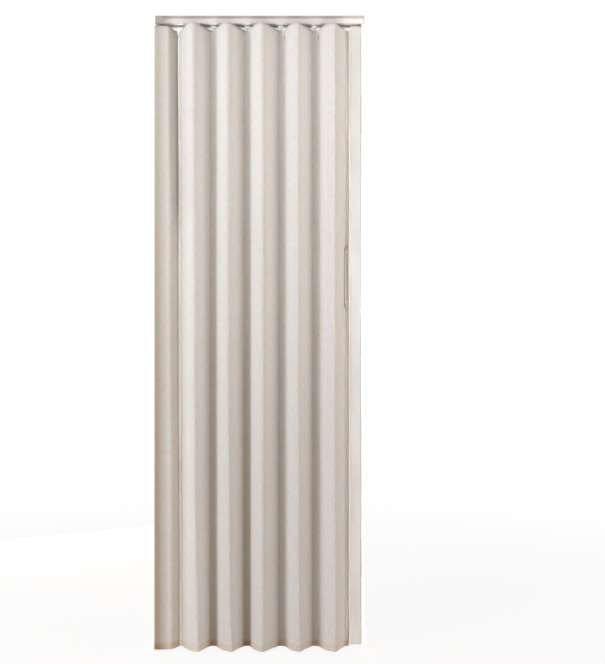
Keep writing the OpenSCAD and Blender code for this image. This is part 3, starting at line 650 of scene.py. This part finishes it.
def frontSurface(plan):
    within = np.concatenate([np.linspace(a, b, steps + 1)[:-1] for a, b, steps in plan["spans"]])
    samples = np.concatenate([1 + perPleat * i + within for i in range(pleats)]
                             + [1 + perPleat * pleats + np.array(plan["endSteps"])])
    samples[0] = plan["start"]
    control = frontControl(plan)
    flat = splineWeights(control.shape[1], samples) @ control
    reach = runLength(flat[len(rowHeights) // 2])
    # slack only on the faces: none where the strips and the creases hold the cloth
    local = (samples - 1) % perPleat
    onFaces = sum(between(local, *face) for face in plan["slackFaces"])
    onFaces[samples > 1 + perPleat * pleats] = 0
    slack = plan["slack"] * mm * clothWaves(reach, 5) * onFaces
    middle, outward = pushOut(standUp(flat), slack, False)
    # painted shade lies from one foot over the valley's band to the other
    nearest = np.round((samples - 1) / perPleat).astype(int)
    ends, fades, starts, lines = np.array(plan["paintedShadeEdges"]).T[:, nearest]
    inValley = (np.clip((ends - local) / fades, 0, 1)
                + np.clip((local - starts) / plan["paintedShadeFade"], 0, 1))
    low, high = np.array(plan["paintedShade"]).T[:, nearest]
    tone = inValley * (low + (high - low) * heightShare[:, None])
    # and the fold at the band's left side gets a fine line of painted shade
    tone = np.maximum(tone, lines * bell(local, *plan["foldLine"]))
    # the tape along the first edge shows more towards the hem
    tapeWide = plan["tape"] * mm * np.clip(1.05 - heightShare, 0, 1)[:, None]
    tone = np.where((reach < tapeWide) & (samples < 3), -1.0, tone)
    return middle, outward, samples, reach, tone


frontMiddle, frontOutward, frontSamples, frontReach, frontTone = frontSurface(frontPleat)
cuts = [1 + perPleat * i + cut for i in range(pleats) for cut in frontPleat["cuts"]]
cutColumns = [int(np.abs(frontSamples - cut).argmin())
              for cut in (frontSamples[0], *cuts, frontSamples[-1])]
sheetPieces = []
for k, (first, last) in enumerate(zip(cutColumns, cutColumns[1:])):
    part = slice(first, last + 1)
    i, atRidge = divmod(k, 2)
    middle, reach = frontMiddle[:, part], frontReach[part]
    piece = shellMesh(f"front{'Ridge' if atRidge else 'Valley'}Cloth{i}", middle,
                      frontOutward[:, part], reach, frontTone[:, part],
                      keep=awayFromHandle(middle) if i == pleats else None)
    if atRidge:
        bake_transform(piece)
    else:
        turnAtValley(piece)
    sheetPieces.append(piece)
print("front sheet made,", len(sheetPieces), "pieces")

# Back sheet: each piece runs from ridge to ridge. At a ridge the piece on the left carries
# a long round lip, and the next piece laps over it, so the two slide as the pleat closes.
# Lengths in mm and turns in degrees; slackFace is the start, end and fade of the slack and seam
# the place and width of the painted shade in the fold, both from the valley. wallEnd gives the first
# piece's edge and the place from which its points are kept, and postEnd the last piece's the other way.
backPleat = {"stand": 1.7, "lipRadius": 6.3, "lapGap": 0.3, "noseShort": 4, "lipTurn": -17.0,
             "lapStart": 100.0, "belly": 1.6, "slack": 0.8, "bandHalf": 6.6, "band": 11.4,
             "footAlong": 16.0, "footCorner": (8.3, 11.9), "armShort": 3, "wallEnd": (0.7, 1.1),
             "postEnd": (0.4, 0.8), "slackFace": (14, 44, 10), "seam": (8.5, 1.6),
             "paintedSeamShade": 0.55, "seamDepth": 16}


def backLap(side, plan):
    # half a back piece in mm from its valley: band, foot, face and round nose, the right half
    # with the lip and the left one with the lap over it
    arm = math.hypot(halfPitch, pivotDepth) / mm
    radius = plan["lipRadius"] + (0 if side > 0 else sheetCut["thick"] / mm + plan["lapGap"])
    turned = 180 - plan["noseShort"] - math.degrees(strapAngle)
    last = plan["lipTurn"] if side > 0 else 180 - plan["lapStart"]
    angles = np.radians(np.linspace(turned, last, 26 if side > 0 else 14))
    nose = np.stack([halfPitch / mm + radius * np.cos(angles),
                     pivotDepth / mm + radius * np.sin(angles)], axis=-1)
    along = np.linspace(plan["footAlong"], arm - plan["armShort"], 24)
    share = (along - plan["footAlong"]) / (arm - plan["armShort"] - plan["footAlong"])
    stand = (plan["stand"] + (radius - plan["stand"]) * share
             + plan["belly"] * np.sin(math.pi * share))
    direction = np.array([math.cos(strapAngle), math.sin(strapAngle)])
    normal = np.array([-math.sin(strapAngle), math.cos(strapAngle)])
    face = along[:, None] * direction + stand[:, None] * normal
    # the foot is a quadratic curve from the band's end round its corner to the face
    t = np.linspace(0, 1, 9)[:-1, None]
    foot = ((1 - t) ** 2 * np.array([plan["bandHalf"], plan["band"]])
            + 2 * t * (1 - t) * np.array(plan["footCorner"]) + t ** 2 * face[0])
    band = np.stack([np.linspace(0, plan["bandHalf"], 6)[:-1], np.full(5, plan["band"])], axis=-1)
    return np.concatenate([band, foot, face, nose]) * np.array([side, 1])


def backPath(i, plan):
    # the plan of back piece i; the first starts at the wall's rod and the last ends at the post
    left, right = backLap(-1, plan)[::-1], backLap(1, plan)[1:]
    if i == 0:
        edge, rest = plan["wallEnd"]
        return np.concatenate([[[edge, plan["band"]]], right[right[:, 0] > rest]])
    if i == pleats:
        rest, edge = plan["postEnd"]
        return np.concatenate([left[left[:, 0] < rest], [[edge, plan["band"]]]])
    return np.concatenate([left, right])


for i in range(pleats + 1):
    path = backPath(i, backPleat)
    flat = path * mm + np.array([valleys[i], 0])
    reach = runLength(flat)
    fromValley = np.abs(path[:, 0])
    onFaces = between(fromValley, *backPleat["slackFace"])
    slack = backPleat["slack"] * mm * clothWaves(reach, 40 + i) * onFaces
    middle, outward = pushOut(standUp(flat), slack, True)
    # painted shade in the fold beside the valley
    tone = (backPleat["paintedSeamShade"] * bell(fromValley, *backPleat["seam"])
            * (np.abs(path[:, 1]) < backPleat["seamDepth"]))
    piece = shellMesh(f"backCloth{i}", middle, outward, reach, tone, flip=True,
                      keep=awayFromHandle(middle) if i == pleats else None)
    turnAtValley(piece)
    sheetPieces.append(piece)
for i in range(pleats + 1):
    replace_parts(sheetPieces[2 * i], f"sheet_a{i}", f"sheet_b{i}")
print("back sheet made")

# Covers at the wall: a flat face with a leaning crease, wrapped in the sheet's cloth. Control
# points in mm from the door's middle; samples, faces and painted shade count along the control points.
coverPlan = {
    "top": [(-329.6, -8), (-329.6, -20), (-329.6, -34), (-329.2, -41.8), (-325.6, -43.8),
            (-308, -42.9), (-294, -42.0), (-285.4, -41.3), (-280.6, -33), (-277.0, -23.5),
            (-273.8, -15.0), (-269.6, -10.4), (-264.6, -8.6), (-261.0, -8.2), (-257.6, -8.2)],
    "bottom": [(-329.6, -8), (-329.6, -22), (-329.6, -37), (-329.2, -46.6), (-325.6, -48.9),
               (-308, -47.2), (-292, -45.6), (-276.4, -43.8), (-270.0, -37.5), (-264.4, -30),
               (-259.8, -22.6), (-256.6, -16.8), (-255.2, -14.0), (-254.7, -12.9), (-254.5, -12.2)],
    # the crease's points wander by up to so many mm down the door
    "crease": (7, 11), "wander": 0.6, "shareBend": 1.3,
    "slack": 0.6, "slackFace": (5, 8.5, 1), "clothStart": 1.7,
    "spans": [(1, 5, 20), (5, 7, 6), (7, 13, 33)], "end": 12.9,
    # painted shade all over, less of it on the crease as a painted highlight, more round the wall's corner: place,
    # width, amount
    "paintedShade": 0.5, "paintedCreaseHighlight": (6.6, 0.7, -0.4), "paintedWallShade": (3.7, 1.3, 0.5),
    # painted shadow where the slope meets the first strip, strongest low down
    "paintedStripShadow": 0.7, "stripStart": 10.6, "stripFade": 1.2,
}


def wallCover(name, plan, side):
    top, bottom = (np.array(plan[key], float) for key in ("top", "bottom"))
    share = heightShare ** plan["shareBend"]
    control = (bottom + share[:, None, None] * (top - bottom)) * mm
    wander = plan["wander"] * np.sin(rowHeights * 8.3 + 1.0) * mm
    control[:, slice(*plan["crease"]), 0] += wander[:, None]
    samples = np.concatenate([np.linspace(a, b, steps + 1)[:-1] for a, b, steps in plan["spans"]])
    samples = samples[samples <= plan["end"]]
    flat = splineWeights(len(top), samples) @ control
    reach = runLength(flat[len(flat) // 2]) + plan["clothStart"]
    slack = plan["slack"] * mm * clothWaves(reach, 77) * between(samples, *plan["slackFace"])
    middle, outward = pushOut(standUp(flat * np.array([1, side])), slack, side < 0)
    tone = plan["paintedShade"]
    for (centre, width, amount), power in ((plan["paintedCreaseHighlight"], 2), (plan["paintedWallShade"], 4)):
        tone = tone + amount * bell(samples, centre, width, power)
    # the painted shade is nearly twice as dark at the floor as at the rail
    tone = tone * (1.1 - 0.45 * heightShare[:, None])
    nearStrip = np.clip((samples - plan["stripStart"]) / plan["stripFade"], 0, 1)
    tone = tone + plan["paintedStripShadow"] * nearStrip * (1 - 0.75 * heightShare[:, None])
    piece = shellMesh(name, middle, outward, reach, tone, flip=side < 0)
    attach(piece, "door_frame")
    return piece


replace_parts(wallCover("wallCoverFront", coverPlan, 1), "jamb_cover_front")
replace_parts(wallCover("wallCoverBack", coverPlan, -1), "jamb_cover_back")
print("wall covers made")

# Floor, surroundings and lamps. The key and the fill stand 50 to 60 degrees to either side, so
# that they light the faces but not the valleys; front and lift, both low, light the rail and the
# sheet's upper third, and back stands low behind. The others are narrow strips before the door,
# each turned on one upright part: the wall cover, the first cream line, the strike strip with its
# foot, and the bead beside the post. Warm light comes from around. The floor's white paper takes
# the paint's shade for a tenth within 2.1 m of the door, and is pure from 4 m on.
stage = {"floor": "F0E2DA", "floorHalf": 9.0, "floorHeight": -2.0, "paper": (2.1, 4.0, 0.9, 1.0),
         "around": 0.3, "aroundColour": (1, 0.95, 0.915)}
lamps = {
    "key": {"place": (-2.6, -2.1, 0.45), "aim": (0, 0, -0.6), "size": 1.1, "power": 81.0,
            "colour": (0.87, 0.925, 1.0)},
    "fill": {"place": (2.0, -1.2, -0.3), "aim": (0, 0, -0.75), "size": 0.9, "power": 17.5,
             "colour": (1.0, 0.935, 0.895)},
    "front": {"place": (0.3, -1.5, -1.7), "aim": (0.05, 0, 0.0), "size": 0.5, "power": 0.7,
              "colour": (1.0, 0.98, 0.95), "spread": 60},
    "lift": {"place": (0, -0.42, -1.95), "aim": (0, -0.06, 0), "size": 0.9, "tall": 0.1,
             "power": 0.2, "colour": (1.0, 0.97, 0.94), "spread": 10},
    "cover": {"place": (0.9, -1.4, -1.3), "aim": (-0.29, 0, -1.3), "size": 0.12, "tall": 1.8,
              "power": 0.04, "colour": (1.0, 0.96, 0.93), "spread": 7},
    "edge": {"place": (0.11, -1.38, -1.25), "aim": (-0.2545, -0.01, -1.4), "size": 0.02,
             "tall": 1.5, "power": 0.056, "colour": (1.0, 0.98, 0.95), "spread": 4},
    "strip": {"place": (0.5, -1.4, -0.9), "aim": (0.35, 0, -1.05), "size": 0.15, "tall": 2.2,
              "power": 0.22, "colour": (1.0, 0.985, 0.97), "spread": 11},
    "bead": {"place": (0.4, -1.4, -0.9), "aim": (0.2845, -0.02, -1.05), "size": 0.02,
             "tall": 2.2, "power": 0.037, "colour": (1.0, 0.985, 0.97), "spread": 2},
    "foot": {"place": (0.46, -1.4, -1.42), "aim": (0.334, 0, -1.70), "size": 0.006, "tall": 0.9,
             "power": 0.062, "colour": (0.90, 0.96, 1.0), "spread": 1.2},
    "back": {"place": (-1.3, 2.1, -1.45), "aim": (0, 0, -0.6), "size": 1.2, "power": 48.0,
             "colour": (1.0, 0.985, 0.965)},
}


def seenByEye(tree):
    # 1 for what the camera sees, directly or by a mirror or glass, and 0 for light on the object
    path = addNode(tree, "ShaderNodeLightPath").outputs
    seen = maths(tree, "MAXIMUM", path["Is Camera Ray"], path["Is Glossy Ray"])
    return maths(tree, "MAXIMUM", seen, path["Is Transmission Ray"])


half, height = stage["floorHalf"], stage["floorHeight"]
floorMesh = bpy.data.meshes.new("studioFloor")
floorMesh.from_pydata([(-half, -half, height), (half, -half, height), (half, half, height),
                       (-half, half, height)], [], [(0, 1, 2, 3)])
floor = bpy.data.objects.new("studioFloor", floorMesh)
bpy.context.scene.collection.objects.link(floor)

# matt floor paint, which the camera sees as white paper with a faint shadow near the door
floorPaint = bpy.data.materials.new("matFloorPaint")
tree = freshTree(floorPaint)
seen = seenByEye(tree)
paint = addNode(tree, "ShaderNodeBsdfDiffuse", inputs={"Color": hexColour(stage["floor"])})
paper = addNode(tree, "ShaderNodeEmission", inputs={"Color": (1, 1, 1, 1), "Strength": 1.0})
away = addNode(tree, "ShaderNodeVectorMath", operation="LENGTH", links={0: objectPlace(tree)})
white = addNode(tree, "ShaderNodeMixShader",
                links={0: remap(tree, away.outputs["Value"], *stage["paper"]),
                       1: paint.outputs[0], 2: paper.outputs[0]})
both = addNode(tree, "ShaderNodeMixShader",
               links={0: seen, 1: paint.outputs[0], 2: white.outputs[0]})
addNode(tree, "ShaderNodeOutputMaterial", links={"Surface": both.outputs[0]})
floorMesh.materials.append(floorPaint)

world = bpy.data.worlds.new("studioWorld")
tree = freshTree(world)
seen = seenByEye(tree)
soft = addNode(tree, "ShaderNodeBackground",
               inputs={"Color": (*stage["aroundColour"], 1), "Strength": stage["around"]})
blank = addNode(tree, "ShaderNodeBackground", inputs={"Color": (1, 1, 1, 1), "Strength": 1.0})
both = addNode(tree, "ShaderNodeMixShader",
               links={0: seen, 1: soft.outputs[0], 2: blank.outputs[0]})
addNode(tree, "ShaderNodeOutputWorld", links={"Surface": both.outputs[0]})
bpy.context.scene.world = world


def softLamp(name, look):
    lampData = bpy.data.lights.new(name, "AREA")
    lampData.shape = "RECTANGLE"
    lampData.size = look["size"]
    lampData.size_y = look.get("tall", look["size"])
    lampData.energy = look["power"]
    lampData.color = look["colour"]
    lampData.spread = math.radians(look.get("spread", 180))
    lamp = bpy.data.objects.new(name, lampData)
    lamp.location = look["place"]
    aim = np.array(look["aim"]) - np.array(look["place"])
    # a lamp shines along its own -Z; its turn about X then Z points that at the target
    lamp.rotation_euler = (math.acos(-aim[2] / np.linalg.norm(aim)), 0,
                           math.atan2(aim[1], aim[0]) - math.pi / 2)
    bpy.context.scene.collection.objects.link(lamp)


for name, look in lamps.items():
    softLamp(name + "Lamp", look)
print("stage set")
